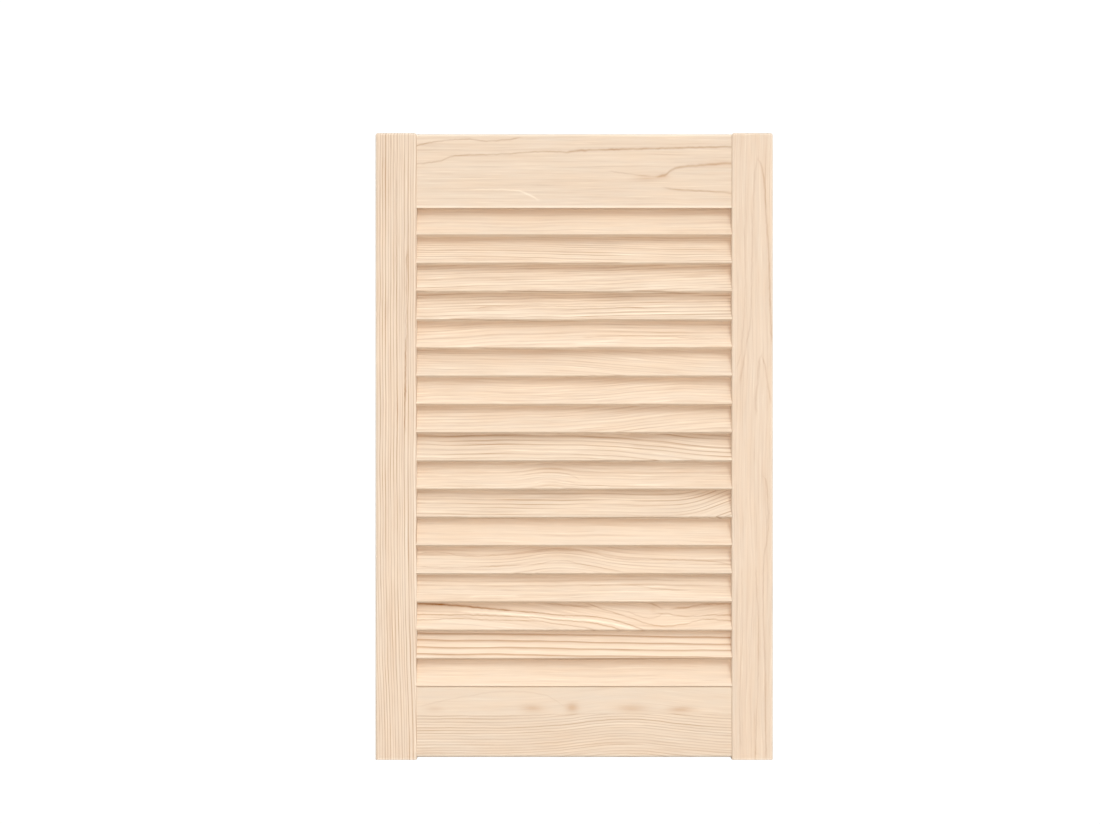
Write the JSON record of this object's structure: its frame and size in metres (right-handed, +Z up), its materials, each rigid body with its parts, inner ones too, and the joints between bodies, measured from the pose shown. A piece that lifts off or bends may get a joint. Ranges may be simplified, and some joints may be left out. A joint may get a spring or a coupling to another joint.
{
  "type": "louvred cabinet door",
  "caption": "Slim pine cupboard door leaf: stiles and rails frame a ladder of fixed, overlapping slanted slats that let air through and hide what is behind.",
  "frame": {"origin": "middle of the left stile's outer edge face, seen from the front: halfway up and halfway through the door's thickness, on the edge that hinges are screwed to", "axes": "+X across the door from the hinge edge to the closing edge, +Z up along the stiles, -Y towards the viewer at the front"},
  "size_m": [0.39, 0.021, 0.615],
  "materials": {
    "stile_pine": "sanded smooth, bare",
    "rail_pine": "sanded smooth, bare",
    "slat_pine": "sanded smooth, bare"
  },
  "bodies": {
    "root": {"left_stile": "stile_pine", "right_stile": "stile_pine", "top_rail": "rail_pine", "bottom_rail": "rail_pine", "slat_01": "slat_pine", "slat_02": "slat_pine", "slat_03": "slat_pine", "slat_04": "slat_pine", "slat_05": "slat_pine", "slat_06": "slat_pine", "slat_07": "slat_pine", "slat_08": "slat_pine", "slat_09": "slat_pine", "slat_10": "slat_pine", "slat_11": "slat_pine", "slat_12": "slat_pine", "slat_13": "slat_pine", "slat_14": "slat_pine", "slat_15": "slat_pine", "slat_16": "slat_pine", "slat_17": "slat_pine"}
  },
  "joints": []
}
